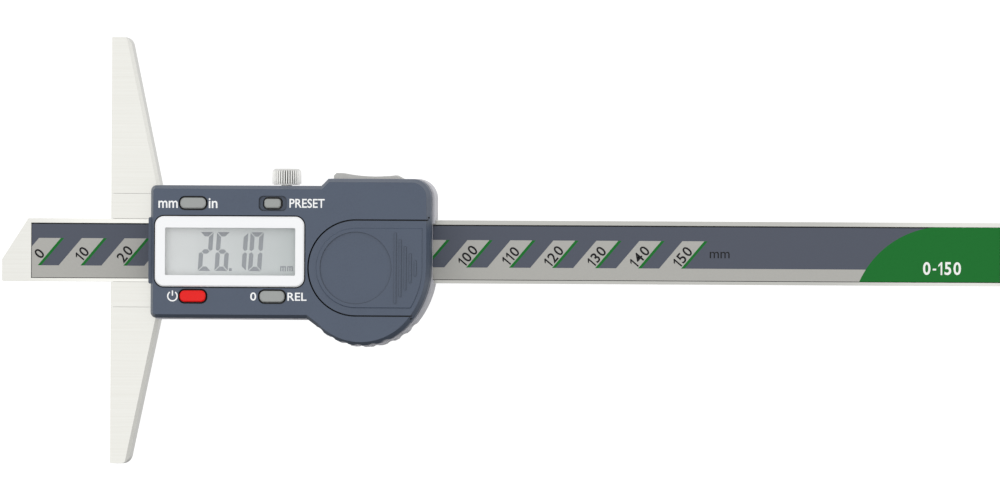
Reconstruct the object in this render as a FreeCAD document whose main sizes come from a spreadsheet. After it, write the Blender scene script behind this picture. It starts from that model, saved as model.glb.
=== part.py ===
import FreeCAD, Part
import math
import os
import Sketcher
from FreeCAD import Rotation, Vector

# Digital depth caliper lying face up. X runs along the beam, from the measuring
# tip to the free end, Y along the depth base and Z up from the resting plane.
# The origin is under the middle of the object, at reading 25.5 mm.

os.makedirs("parts", exist_ok=True)
doc = FreeCAD.newDocument("depth_caliper")
sheet = doc.addObject("Spreadsheet::Sheet", "Sizes")

# Driving sizes in millimetres: name, value, meaning
driving_sizes = [
    # Beam
    ("beam_width", 14.6, "across the guided edges"),
    ("beam_thickness", 3.2, "ground flat stock"),
    ("tip_cut_length", 6.1, "slanted cut at the tip, along the beam"),
    ("tip_face_width", 5.1, "flat contact face left at the tip"),
    ("tip_foot_bevel", 0.2, "small bevel at the tip's lower corner"),
    ("reading", 25.5, "tip beyond the measuring face at rest"),
    ("measuring_range", 150.0, "largest reading"),
    ("slide_clearance", 0.05, "running clearance round the beam"),
    ("groove_start", 6.8, "tip end to the start of the scale groove"),
    ("groove_depth", 0.7, "groove for scale board and label"),
    ("groove_upper_margin", 1.0, "bare steel above the groove"),
    ("groove_width", 12.85, "scale groove across the beam"),
    ("strip_clearance", 0.05, "side clearance of board and label"),
    ("scale_board_thickness", 0.45, "glass-epoxy scale"),
    ("label_thickness", 0.2, "printed strip"),
    # End stop on the back of the beam
    ("stop_length", 5.0, "along the beam"),
    ("stop_width", 11.0, "across the beam"),
    ("stop_thickness", 1.0, "plate"),
    ("stop_end_margin", 0.4, "plate edge to the beam's end"),
    ("stop_spare", 4.3, "travel left past the largest reading"),
    ("stop_screw_spacing", 6.0, "between the two screws"),
    ("stop_screw_length", 2.6, "head face to screw end"),
    # Depth base
    ("base_length", 99.0, "along the measuring face"),
    ("base_thickness", 6.4, "base and slider head, up from the table"),
    ("base_end_width", 4.2, "wing width at its end"),
    ("base_root_width", 11.8, "wing width beside the slider head"),
    ("base_end_radius", 2.3, "rounded outer corner of a wing"),
    ("base_face_radius", 0.25, "corner beside the measuring face"),
    ("base_bevel", 0.8, "bevel on the back edge of the wings"),
    ("base_web", 1.6, "floor left under the slider head"),
    ("seam_gap", 0.04, "slider head to the sides of its notch"),
    ("base_screw_inset", 5.6, "measuring face to the screws"),
    ("base_screw_length", 4.4, "head face to screw end"),
    ("base_screw_radius", 1.2, "shank"),
    ("base_screw_head", 2.0, "head radius"),
    # Slider frame
    ("head_width", 26.3, "slider frame across the beam"),
    ("head_floor", 1.3, "frame floor under the beam in the head"),
    ("frame_end_inset", 2.47, "housing's far edge to the frame's far end"),
    ("frame_corner_cut", 3.0, "cut corners at the far end"),
    ("gib_thickness", 0.9, "brass strip"),
    ("gib_height", 2.8, "brass strip"),
    ("gib_start", 13.6, "measuring face to the gib pocket"),
    ("gib_end_margin", 2.9, "gib pocket to the frame's far end"),
    ("gib_end_gap", 0.1, "strip to its pocket's ends"),
    ("gib_screw_inset", 9.0, "strip end to the first grub screw"),
    ("gib_screw_setback", 6.2, "lock screw to the second grub screw"),
    ("grub_radius", 1.0, "grub screw"),
    ("grub_length", 3.0, "grub screw"),
    ("rest_inset", 4.4, "thumb rest to the frame's far end"),
    ("rest_length", 16.37, "thumb rest along the beam"),
    ("rest_height", 18.16, "thumb rest above the beam's axis"),
    ("rest_saddle_radius", 40.0, "hollow of the thumb rest"),
    ("rest_corner", 0.6, "cut near corner of the thumb rest"),
    ("rest_flat", 1.2, "flat before the hollow"),
    ("rest_fall", 0.49, "far end of the hollow below the near one"),
    ("rest_tail_run", 1.9, "slope after the hollow, along the beam"),
    ("rest_tail_fall", 1.0, "slope after the hollow, towards the beam"),
    # Lock screw
    ("lock_setback", 8.89, "screw's axis to the shoulder's slope"),
    ("lock_head_radius", 3.37, "knurled head"),
    ("lock_head_length", 3.75, "knurled head"),
    ("lock_head_bevel", 0.6, "outer edge of the head"),
    ("lock_neck_length", 0.2, "plain neck under the knurl"),
    ("lock_neck_radius", 3.0, "plain neck under the knurl"),
    ("lock_case_gap", 0.2, "head to the case"),
    ("lock_way_gap", 0.3, "shank to its hole in the case"),
    ("lock_shank_radius", 1.25, "thread over its crests"),
    ("lock_bore_clearance", 0.05, "round the shank"),
    ("lock_tip_gap", 0.15, "screw end to the gib strip, unlocked"),
    ("knurl_depth", 0.3, "groove of the straight knurl"),
    ("knurl_width", 0.4, "groove across its mouth"),
    ("knurl_teeth", 36, "grooves round the head"),
    # Housing outline, shared by the lower case, the upper cover and the lid
    ("housing_setback", 9.98, "measuring face to the housing"),
    ("housing_length", 65.19, "along the beam"),
    ("housing_upper", 15.1, "upper edge from the beam's axis"),
    ("housing_lower", 15.6, "lower edge from the beam's axis"),
    ("housing_corner", 1.3, "near corners"),
    ("shoulder_inset", 25.52, "shoulder's slope to the far edge"),
    ("shoulder_run", 1.67, "slope of the shoulder along the beam"),
    ("shoulder_rise", 1.7, "shoulder above the upper edge"),
    ("far_corner", 4.3, "upper far corner"),
    ("bulge_radius", 14.6, "round lower bulge"),
    ("bulge_far_gap", 1.4, "far edge to the bulge's circle"),
    ("bulge_drop", 7.2, "bulge's centre below the beam's axis"),
    ("bulge_start", 10.6, "bulge's centre to its near end"),
    ("bulge_blend", 2.2, "slope from the lower edge to the bulge"),
    ("side_arc_rise", 3.63, "end of the straight far edge above the bulge's centre"),
    ("cavity_corner", 0.8, "inner corners of the shells"),
    ("scallop_radius", 2.2, "finger grips on the bulge"),
    ("scallop_depth", 0.3, "finger grips on the bulge"),
    ("scallop_first", 229.0, "direction of the first grip, degrees"),
    ("scallop_step", 12.6, "between grips, degrees"),
    ("cover_scallops", 6, "grips on the upper cover"),
    ("case_scallops", 8, "grips on the lower case"),
    # Lower case
    ("case_foot", 0.9, "underside of the lower case"),
    ("case_top", 8.6, "seam between case and cover"),
    ("case_ledge", 0.2, "case larger than the cover all round"),
    ("case_shift_far", 0.3, "case towards the beam's free end"),
    ("case_shift_down", 0.15, "case towards the bulge"),
    ("case_wall", 1.6, "wall"),
    ("case_fit", 0.1, "case to frame and base"),
    ("label_notch", 13.0, "notch over the label at the far end"),
    # Upper cover
    ("cover_top", 14.5, "flat top above the table"),
    ("cover_wall", 1.5, "wall and roof"),
    ("cover_bevel", 0.8, "steep bevel round the top, across"),
    ("cover_bevel_height", 2.4, "steep bevel round the top, down the sides"),
    ("lip_length", 0.5, "lip over the beam at the near edge"),
    ("lip_width", 15.4, "lip across the beam"),
    ("lip_top", 12.6, "lip's upper face"),
    ("lip_corner", 0.4, "lip's upright corners"),
    ("boss_width", 2.9, "square screw posts"),
    # Screws through the case
    ("case_screw_near", 13.9, "measuring face to the near pair"),
    ("case_screw_far", 4.0, "far pair to the frame's far end"),
    ("case_screw_spread", 11.2, "screws from the beam's axis"),
    ("case_screw_radius", 0.8, "shank"),
    ("case_screw_head", 1.5, "head radius"),
    ("case_screw_length", 10.8, "head face to screw end"),
    ("screw_clearance", 0.1, "screw to its clearance hole"),
    ("recess_width", 0.45, "slot across a screw head"),
    ("recess_depth", 0.3, "slot across a screw head"),
    # Rear cover
    ("rear_cover_thickness", 0.8, "plate on the frame's back"),
    ("rear_cover_margin", 0.3, "frame edge to the plate"),
    # Sensor board, connector and display
    ("sensor_thickness", 1.0, "circuit board"),
    ("sensor_margin", 0.2, "board to the frame's edges"),
    ("lcd_end_lap", 0.85, "glass beyond the visible opening, each end"),
    ("lcd_side_lap", 1.0, "glass beyond the visible opening, each side"),
    ("lcd_thickness", 2.0, "glass with its polarisers"),
    ("connector_inset", 2.0, "glass end to the strip's end"),
    ("connector_width", 2.0, "elastomer strip"),
    ("bezel_margin", 1.24, "housing's near edge to the bezel"),
    ("bezel_lid_gap", 0.74, "white frame to the line round the lid"),
    ("bezel_height", 16.3, "white frame"),
    ("bezel_centre", -0.2, "middle of the frame from the beam's axis"),
    ("bezel_corner", 2.1, "outer corners"),
    ("bezel_seat", 0.9, "depth of the frame's recess in the cover"),
    ("bezel_proud", 0.35, "frame above the cover"),
    ("bezel_bevel", 0.3, "frame's outer edge"),
    ("bezel_fit", 0.28, "frame to its recess"),
    ("bezel_end_border", 2.22, "frame at the ends of the visible opening"),
    ("bezel_side_border", 2.66, "frame at the sides of the visible opening"),
    ("window_shift", 0.16, "opening beyond the frame's middle"),
    ("window_corner", 0.3, "opening's corners"),
    ("pane_thickness", 0.8, "clear pane"),
    ("pane_rise", 0.2, "pane's back above the roof's inside"),
    ("pane_lap", 0.35, "pane behind the frame"),
    ("collar_wall", 0.8, "frame's collar round the pane"),
    # Keys
    ("key_near", 10.1, "housing's near edge to the first keys"),
    ("key_far", 7.4, "second keys to the display frame's far end"),
    ("key_upper", 11.0, "upper row from the beam's axis"),
    ("key_lower", 10.57, "lower row from the beam's axis"),
    ("key_gap", 0.4, "key to its opening"),
    ("key_proud", 0.5, "key above the cover"),
    ("key_travel", 0.5, "full stroke"),
    ("key_flange", 0.3, "rim that holds the key in"),
    ("key_flange_height", 0.95, "rim that holds the key in"),
    ("key_play", 0.15, "rim to the cover's roof"),
    ("key_bevel", 0.25, "bevel round the top"),
    ("key_corner", 1.1, "corners of the long keys"),
    ("set_key_corner", 0.75, "corners of the set key"),
    ("set_recess_corner", 1.05, "corners of the set key's hollow"),
    ("dome_gap", 0.05, "pressed key to the dome under it"),
    ("unit_key_length", 5.95, "unit key"),
    ("unit_key_width", 2.5, "unit key"),
    ("set_key_length", 3.8, "set key"),
    ("set_key_width", 2.1, "set key"),
    ("power_key_length", 6.0, "power key"),
    ("power_key_width", 2.65, "power key"),
    ("zero_key_length", 5.77, "zero key"),
    ("zero_key_width", 2.6, "zero key"),
    ("set_recess_length", 6.5, "hollow round the set key"),
    ("set_recess_width", 3.5, "hollow round the set key"),
    ("set_recess_depth", 0.8, "hollow round the set key"),
    ("mat_thickness", 1.6, "rubber key mat"),
    ("mat_width", 3.5, "rubber key mat"),
    ("mat_overhang", 3.3, "mat beyond the key centres"),
    ("dome_radius", 1.1, "dome under a key"),
    # Battery compartment
    ("battery_inset", 17.17, "housing's far edge to the cell's centre"),
    ("battery_drop", 3.84, "cell's centre below the beam's axis"),
    ("cell_radius", 10.0, "coin cell"),
    ("cell_thickness", 3.2, "coin cell"),
    ("cell_rim", 8.9, "radius of the cell's lower cap"),
    ("cell_step", 0.5, "height of the cell's lower cap"),
    ("cell_clearance", 0.3, "cell to its well"),
    ("well_floor", 0.7, "floor under the cell"),
    ("well_floor_top", 8.9, "floor's upper face above the table"),
    ("well_wall", 1.0, "wall round the cell"),
    ("contact_thickness", 0.2, "sprung strip"),
    ("contact_width", 4.0, "sprung strip"),
    ("contact_tongue", 4.0, "lower contact along the cell"),
    ("cell_seat", 0.03, "cell above its lower contact"),
    ("lid_radius", 10.95, "round near end of the lid"),
    ("lid_thickness", 2.0, "lid below the cover's top"),
    ("lid_gap", 0.32, "line round the lid"),
    ("lid_float", 0.1, "lid above its shelf"),
    ("lid_shelf", 1.0, "shelf under the lid"),
    ("lid_block", 1.8, "cover round the lid's guides"),
    ("guide_width", 0.6, "lid's guide rail"),
    ("guide_height", 0.7, "lid's guide rail"),
    ("plateau_inset", 1.7, "raised field inside the lid's edge"),
    ("plateau_height", 0.2, "raised field"),
    ("plateau_bevel", 0.15, "bevel round the raised field"),
    ("dish_radius", 8.35, "round hollow in the lid"),
    ("dish_depth", 0.25, "round hollow in the lid"),
    ("rib_start", 9.0, "cell's centre to the first grip rib"),
    ("rib_pitch", 1.17, "between grip ribs"),
    ("rib_width", 0.4, "grip rib"),
    ("rib_height", 0.2, "grip rib"),
    ("rib_half_length", 8.2, "longest grip rib, half"),
    ("rib_shortening", 1.6, "each rib shorter by this, half"),
    ("rib_count", 5, "grip ribs"),
]

for row, (alias, value, meaning) in enumerate(driving_sizes, start=1):
    sheet.set("A%d" % row, alias)
    sheet.set("B%d" % row, str(value))
    sheet.setAlias("B%d" % row, alias)
    sheet.set("C%d" % row, meaning)
doc.recompute()


class Size:
    # A size as a number, kept together with the sheet formula that gives it

    def __init__(self, number, formula):
        self.number = float(number)
        self.formula = formula

    def __add__(self, other):
        other = as_size(other)
        return Size(self.number + other.number, "(%s + %s)" % (self.formula, other.formula))

    def __radd__(self, other):
        return as_size(other) + self

    def __sub__(self, other):
        other = as_size(other)
        return Size(self.number - other.number, "(%s - %s)" % (self.formula, other.formula))

    def __rsub__(self, other):
        return as_size(other) - self

    def __mul__(self, other):
        other = as_size(other)
        return Size(self.number * other.number, "(%s * %s)" % (self.formula, other.formula))

    def __rmul__(self, other):
        return as_size(other) * self

    def __truediv__(self, other):
        other = as_size(other)
        return Size(self.number / other.number, "(%s / %s)" % (self.formula, other.formula))

    def __neg__(self):
        return Size(-self.number, "(0 - %s)" % self.formula)

    def root(self):
        return Size(math.sqrt(self.number), "sqrt(%s)" % self.formula)


def as_size(value):
    if isinstance(value, Size):
        return value
    return Size(value, "(%r)" % float(value))


class SheetSizes:
    # Gives the sheet's cells by name, as mm.beam_width

    def __getattr__(self, alias):
        return Size(sheet.get(alias), "Sizes." + alias)


mm = SheetSizes()


# Sketches

def arc_between(start, end, radius):
    # The shorter arc from start to end, counter-clockwise where radius is positive
    chord = end - start
    half = chord.Length / 2
    rise = math.sqrt(max(radius * radius - half * half, 0.0))
    left = Vector(-chord.y, chord.x, 0).normalize()
    centre = start + chord / 2 + left * math.copysign(rise, radius)
    first, last = (start, end) if radius > 0 else (end, start)
    first_angle = math.atan2(first.y - centre.y, first.x - centre.x)
    last_angle = math.atan2(last.y - centre.y, last.x - centre.x)
    if last_angle < first_angle:
        last_angle += 2 * math.pi
    circle = Part.Circle(centre, Vector(0, 0, 1), abs(radius))
    return Part.ArcOfCircle(circle, first_angle, last_angle)


def hold(sketch, constraint, size):
    # Adds a constraint and binds its value to the sheet
    index = sketch.addConstraint(constraint)
    sketch.setExpression("Constraints[%d]" % index, size.formula)


def draw_outline(sketch, points):
    # Closed outline. Each point is (x, y), or (x, y, radius) where an arc leads to it
    first = sketch.GeometryCount
    count = len(points)
    ends = []
    for index, point in enumerate(points):
        before = points[index - 1]
        start = Vector(before[0].number, before[1].number, 0)
        end = Vector(point[0].number, point[1].number, 0)
        if len(point) == 2:
            sketch.addGeometry(Part.LineSegment(start, end), False)
            ends.append((1, 2))
        else:
            sketch.addGeometry(arc_between(start, end, point[2].number), False)
            ends.append((1, 2) if point[2].number > 0 else (2, 1))
    for index, point in enumerate(points):
        edge = first + index
        following = (index + 1) % count
        sketch.addConstraint(Sketcher.Constraint(
            "Coincident", edge, ends[index][1], first + following, ends[following][0]))
        hold(sketch, Sketcher.Constraint("DistanceX", edge, ends[index][1], point[0].number), point[0])
        hold(sketch, Sketcher.Constraint("DistanceY", edge, ends[index][1], point[1].number), point[1])
        if len(point) == 3:
            radius = point[2] if point[2].number > 0 else -point[2]
            hold(sketch, Sketcher.Constraint("Radius", edge, radius.number), radius)


def draw_circle(sketch, x, y, radius):
    edge = sketch.GeometryCount
    centre = Vector(x.number, y.number, 0)
    sketch.addGeometry(Part.Circle(centre, Vector(0, 0, 1), radius.number), False)
    hold(sketch, Sketcher.Constraint("DistanceX", edge, 3, x.number), x)
    hold(sketch, Sketcher.Constraint("DistanceY", edge, 3, y.number), y)
    hold(sketch, Sketcher.Constraint("Radius", edge, radius.number), radius)


def rectangle(x_low, y_low, x_high, y_high):
    x_low, y_low, x_high, y_high = (as_size(v) for v in (x_low, y_low, x_high, y_high))
    return [(x_low, y_low), (x_high, y_low), (x_high, y_high), (x_low, y_high)]


def rounded_rectangle(x_low, y_low, x_high, y_high, radius):
    return [
        (x_low + radius, y_low, radius),
        (x_high - radius, y_low),
        (x_high, y_low + radius, radius),
        (x_high, y_high - radius),
        (x_high - radius, y_high, radius),
        (x_low + radius, y_high),
        (x_low, y_high - radius, radius),
        (x_low, y_low + radius),
    ]


def centred(x, y, length, width, radius=None):
    corners = (x - length / 2, y - width / 2, x + length / 2, y + width / 2)
    if radius is None:
        return rectangle(*corners)
    return rounded_rectangle(*corners, radius)


# Features of a body

def new_body(label):
    body = doc.addObject("PartDesign::Body", label)
    body.Label = label
    return body


def sketch_on(body, name, outlines, level, plane="XY_Plane"):
    # Outlines are lists of points, or (x, y, radius) triples for circles
    sketch = body.newObject("Sketcher::SketchObject", name + "_sketch")
    origin_plane = next(item for item in body.Origin.OriginFeatures if item.Role == plane)
    sketch.AttachmentSupport = (origin_plane, [""])
    sketch.MapMode = "FlatFace"
    sketch.setExpression("AttachmentOffset.Base.z", as_size(level).formula)
    for outline in outlines:
        if isinstance(outline, tuple):
            draw_circle(sketch, *(as_size(value) for value in outline))
        else:
            draw_outline(sketch, outline)
    return sketch


def pad(body, name, outlines, low, high):
    feature_sketch = sketch_on(body, name, outlines, low)
    feature = body.newObject("PartDesign::Pad", name)
    feature.Profile = feature_sketch
    feature.setExpression("Length", (as_size(high) - low).formula)
    doc.recompute()
    return feature


def pocket(body, name, outlines, low, high):
    # Takes away what lies between the two levels
    before = body.Shape.Volume
    feature_sketch = sketch_on(body, name, outlines, high)
    feature = body.newObject("PartDesign::Pocket", name)
    feature.Profile = feature_sketch
    feature.setExpression("Length", (as_size(high) - low).formula)
    doc.recompute()
    if body.Shape.Volume >= before:
        raise ValueError("%s took nothing away" % name)
    return feature


def edge_names(shape, wanted):
    return ["Edge%d" % number for number, edge in enumerate(shape.Edges, start=1) if wanted(edge)]


def dress(body, kind, name, size, wanted):
    # Fillet or chamfer on the edges of the body's last feature that are wanted
    base = body.Tip
    feature = body.newObject("PartDesign::" + kind, name)
    feature.Base = (base, edge_names(base.Shape, wanted))
    feature.setExpression("Radius" if kind == "Fillet" else "Size", as_size(size).formula)
    doc.recompute()
    return feature


def near(value, size):
    return abs(value - as_size(size).number) < 1e-4


def upright_at(*places):
    # Picks upright edges that stand at the given places
    def wanted(edge):
        box = edge.BoundBox
        if box.ZLength < 1e-3 or box.XLength > 1e-4 or box.YLength > 1e-4:
            return False
        return any(near(box.XMin, x) and near(box.YMin, y) for x, y in places)
    return wanted


def ring_at(level, radius):
    # Picks round edges of one radius at one level
    def wanted(edge):
        return (
            isinstance(edge.Curve, Part.Circle)
            and near(edge.Curve.Radius, radius)
            and near(edge.BoundBox.ZMin, level)
            and near(edge.BoundBox.ZMax, level)
        )
    return wanted


# Solids and booleans

def extrude(name, outline, low, high):
    sketch = doc.addObject("Sketcher::SketchObject", name + "_sketch")
    draw_outline(sketch, outline)
    sketch.setExpression("Placement.Base.z", as_size(low).formula)
    feature = doc.addObject("Part::Extrusion", name)
    feature.Base = sketch
    feature.DirMode = "Custom"
    feature.Dir = Vector(0, 0, 1)
    feature.Solid = True
    feature.setExpression("LengthFwd", (as_size(high) - low).formula)
    return feature


def place(feature, x, y, z):
    for axis, size in zip("xyz", (x, y, z)):
        feature.setExpression("Placement.Base." + axis, as_size(size).formula)


def block(name, x_low, x_high, y_low, y_high, z_low, z_high):
    feature = doc.addObject("Part::Box", name)
    feature.setExpression("Length", (as_size(x_high) - x_low).formula)
    feature.setExpression("Width", (as_size(y_high) - y_low).formula)
    feature.setExpression("Height", (as_size(z_high) - z_low).formula)
    place(feature, x_low, y_low, z_low)
    return feature


def disc(name, x, y, radius, low, high):
    feature = doc.addObject("Part::Cylinder", name)
    feature.setExpression("Radius", as_size(radius).formula)
    feature.setExpression("Height", (as_size(high) - low).formula)
    place(feature, x, y, low)
    return feature


def cone(name, x, y, low_radius, high_radius, low, high):
    feature = doc.addObject("Part::Cone", name)
    feature.setExpression("Radius1", as_size(low_radius).formula)
    feature.setExpression("Radius2", as_size(high_radius).formula)
    feature.setExpression("Height", (as_size(high) - low).formula)
    place(feature, x, y, low)
    return feature


def rod_along_y(name, x, z, radius, y_low, y_high):
    feature = doc.addObject("Part::Cylinder", name)
    feature.Placement = FreeCAD.Placement(Vector(0, 0, 0), Rotation(Vector(1, 0, 0), -90))
    feature.setExpression("Radius", as_size(radius).formula)
    feature.setExpression("Height", (as_size(y_high) - y_low).formula)
    place(feature, x, y_low, z)
    return feature


def fuse(name, shapes):
    feature = doc.addObject("Part::MultiFuse", name)
    feature.Shapes = shapes
    feature.Refine = True
    feature.Label = name
    return feature


def common(name, shapes):
    feature = doc.addObject("Part::MultiCommon", name)
    feature.Shapes = shapes
    feature.Refine = True
    feature.Label = name
    return feature


def cut(name, base, tools):
    feature = doc.addObject("Part::Cut", name)
    feature.Base = base
    feature.Tool = tools[0] if len(tools) == 1 else fuse(name + "_tools", tools)
    feature.Refine = True
    feature.Label = name
    doc.recompute()
    return feature


def in_plane(level):
    # Picks edges that lie flat at one level
    def wanted(edge):
        return near(edge.BoundBox.ZMin, level) and near(edge.BoundBox.ZMax, level)
    return wanted


def bevel_top(name, base, level, across, down):
    # Bevels the rim of an upright solid's flat top, by two sizes
    doc.recompute()
    feature = doc.addObject("Part::Chamfer", name)
    feature.Base = base
    rims = []
    for number, edge in enumerate(base.Shape.Edges, start=1):
        if in_plane(level)(edge):
            first_face = base.Shape.ancestorsOfType(edge, Part.Face)[0]
            on_side = abs(first_face.normalAt(0, 0).z) < 0.5
            sizes = (down.number, across.number) if on_side else (across.number, down.number)
            rims.append((number,) + sizes)
    feature.Edges = rims
    doc.recompute()
    return feature


def countersunk_screw(name, x, y, radius, head_radius, length, low):
    # Head face down at the low level, slot across the head
    head_height = head_radius - radius
    head = cone(name + "_head", x, y, head_radius, radius, low, low + head_height)
    shank = disc(name + "_shank", x, y, radius, low + head_height, low + length)
    recess = block(
        name + "_recess",
        x - head_radius, x + head_radius,
        y - mm.recess_width / 2, y + mm.recess_width / 2,
        low, low + mm.recess_depth)
    return cut(name, fuse(name + "_blank", [head, shank]), [recess])


# Cutting solids run past the faces that they cut by this
overrun = 1

# Places that several pieces share

frame_length = mm.housing_setback + mm.housing_length - mm.frame_end_inset
stop_run = mm.stop_spare + mm.stop_length + mm.stop_end_margin
beam_end = (mm.measuring_range + frame_length + stop_run) / 2
face_x = -beam_end + mm.reading
head_half = mm.head_width / 2
frame_end = face_x + frame_length
base_back = face_x + mm.base_root_width
channel_floor = mm.base_web + mm.head_floor
beam_low = channel_floor + mm.slide_clearance
beam_high = beam_low + mm.beam_thickness
beam_axis_z = beam_low + mm.beam_thickness / 2
channel_half = mm.beam_width / 2 + mm.slide_clearance
gib_side = channel_half + mm.gib_thickness + mm.slide_clearance
frame_top = mm.base_thickness
frame_foot = mm.rear_cover_thickness
board_top = frame_top + mm.sensor_thickness
housing_near = face_x + mm.housing_setback
housing_far = housing_near + mm.housing_length
roof = mm.cover_top - mm.cover_wall
case_screw_places = [
    (x, side * mm.case_screw_spread)
    for x in (face_x + mm.case_screw_near, frame_end - mm.case_screw_far) for side in (1, -1)
]
shoulder_x = housing_far - mm.shoulder_inset
lock_x = shoulder_x - mm.lock_setback
rest_far = frame_end - mm.rest_inset
rest_near = rest_far - mm.rest_length
gib_near = face_x + mm.gib_start
gib_far = frame_end - mm.gib_end_margin
cell_x = housing_far - mm.battery_inset
cell_y = -mm.battery_drop
lid_low = mm.cover_top - mm.lid_thickness
lid_shelf_top = lid_low - mm.lid_float
bezel_near = housing_near + mm.bezel_margin
bezel_far = cell_x - mm.lid_radius - mm.lid_gap - mm.bezel_lid_gap
bezel_x = (bezel_near + bezel_far) / 2
bezel_length = bezel_far - bezel_near
window_x = bezel_x + mm.window_shift
window_length = bezel_length - mm.bezel_end_border * 2
window_height = mm.bezel_height - mm.bezel_side_border * 2
first_key_x = housing_near + mm.key_near
second_key_x = bezel_far - mm.key_far
finished = []


def finish(feature, label):
    feature.Label = label
    finished.append(feature)
    return feature


# Beam

def build_beam():
    body = new_body("beam")
    half = mm.beam_width / 2
    foot = mm.tip_foot_bevel
    profile = [
        (-beam_end + foot, -half),
        (beam_end, -half),
        (beam_end, half),
        (-beam_end + mm.tip_cut_length, half),
        (-beam_end, -half + mm.tip_face_width),
        (-beam_end, -half + foot),
    ]
    pad(body, "beam_stock", [profile], beam_low, beam_high)
    groove_high = half - mm.groove_upper_margin
    groove = rectangle(
        -beam_end + mm.groove_start, groove_high - mm.groove_width, beam_end + overrun, groove_high)
    pocket(body, "scale_groove", [groove], beam_high - mm.groove_depth, beam_high)
    screw_x = beam_end - mm.stop_end_margin - mm.stop_length / 2
    radius = mm.case_screw_radius
    holes = [(screw_x, side * mm.stop_screw_spacing / 2, radius) for side in (-1, 1)]
    thread_depth = mm.stop_screw_length - mm.stop_thickness
    pocket(body, "stop_threads", holes, beam_low, beam_low + thread_depth)
    finish(body, "beam")


def build_scale_strips():
    half = mm.groove_width / 2 - mm.strip_clearance
    middle = mm.beam_width / 2 - mm.groove_upper_margin - mm.groove_width / 2
    start = -beam_end + mm.groove_start + mm.strip_clearance
    strip = rectangle(start, middle - half, beam_end, middle + half)
    board_low = beam_high - mm.groove_depth
    label_low = board_low + mm.scale_board_thickness
    board = new_body("scale_board")
    pad(board, "scale_board_strip", [strip], board_low, label_low)
    finish(board, "scale_board")
    label = new_body("scale_label")
    pad(label, "scale_label_strip", [strip], label_low, label_low + mm.label_thickness)
    finish(label, "scale_label")


def build_end_stop():
    body = new_body("end_stop")
    stop_x = beam_end - mm.stop_end_margin - mm.stop_length / 2
    plate = centred(stop_x, as_size(0), mm.stop_length, mm.stop_width)
    low = beam_low - mm.stop_thickness
    pad(body, "stop_plate", [plate], low, beam_low)
    spread = mm.stop_screw_spacing / 2
    bore = mm.case_screw_radius + mm.screw_clearance
    pocket(body, "stop_bores", [(stop_x, spread, bore), (stop_x, -spread, bore)], low, beam_low)
    sink = mm.case_screw_head - bore
    dress(body, "Chamfer", "stop_sinks", sink, ring_at(low, bore))
    finish(body, "end_stop")
    screws = [
        countersunk_screw(
            "end_stop_screw_%s" % side, stop_x, sign * spread, mm.case_screw_radius,
            mm.case_screw_head, mm.stop_screw_length, low)
        for side, sign in (("upper", 1), ("lower", -1))
    ]
    group("end_stop_screws", screws)


def group(label, solids):
    # Like pieces kept as separate solids under one label
    feature = doc.addObject("Part::Compound", label)
    feature.Links = solids
    doc.recompute()
    finish(feature, label)


# Depth base and slider frame

def base_screw_places():
    rail_middle = (channel_half + head_half) / 2
    return [(face_x + mm.base_screw_inset, side * rail_middle) for side in (-1, 1)]


def build_depth_base():
    half = mm.base_length / 2
    end_x = face_x + mm.base_end_width
    profile = [
        (face_x, -half),
        (end_x, -half),
        (base_back, -head_half),
        (base_back, head_half),
        (end_x, half),
        (face_x, half),
    ]
    plan = new_body("base_plan")
    pad(plan, "base_outline", [profile], as_size(0), mm.base_thickness)
    dress(plan, "Fillet", "wing_ends", mm.base_end_radius, upright_at((end_x, half), (end_x, -half)))
    dress(plan, "Fillet", "face_ends", mm.base_face_radius, upright_at((face_x, half), (face_x, -half)))

    def back_edge(edge):
        box = edge.BoundBox
        return in_plane(mm.base_thickness)(edge) and min(box.XLength, box.YLength) > 1e-3

    # The wings are bevelled straight through before their ends are rounded
    body = new_body("base_milled")
    pad(body, "base_bar", [profile], as_size(0), mm.base_thickness)
    dress(body, "Chamfer", "back_bevel", mm.base_bevel, back_edge)
    notch_half = head_half + mm.seam_gap
    notch = rectangle(face_x - overrun, -notch_half, base_back + overrun, notch_half)
    pocket(body, "head_notch", [notch], mm.base_web, mm.base_thickness)
    bore = mm.base_screw_radius + mm.screw_clearance
    bores = [(x, y, bore) for x, y in base_screw_places()]
    pocket(body, "screw_bores", bores, as_size(0), mm.base_web)
    sink = mm.base_screw_head - bore
    dress(body, "Chamfer", "screw_sinks", sink, ring_at(as_size(0), bore))
    finish(common("depth_base", [body, plan]), "depth_base")


def build_base_screws():
    screws = [
        countersunk_screw(
            "base_screw_%d" % number, x, y, mm.base_screw_radius,
            mm.base_screw_head, mm.base_screw_length, as_size(0))
        for number, (x, y) in enumerate(base_screw_places(), start=1)
    ]
    group("base_screws", screws)


def frame_outline(near_x, inset):
    # The slider frame with its cut far corners, moved inwards by inset
    step = mm.frame_corner_cut
    side = head_half - inset
    far_x = frame_end - inset
    return [
        (near_x, -side),
        (far_x - step, -side),
        (far_x, -side + step),
        (far_x, side - step),
        (far_x - step, side),
        (near_x, side),
    ]


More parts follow.
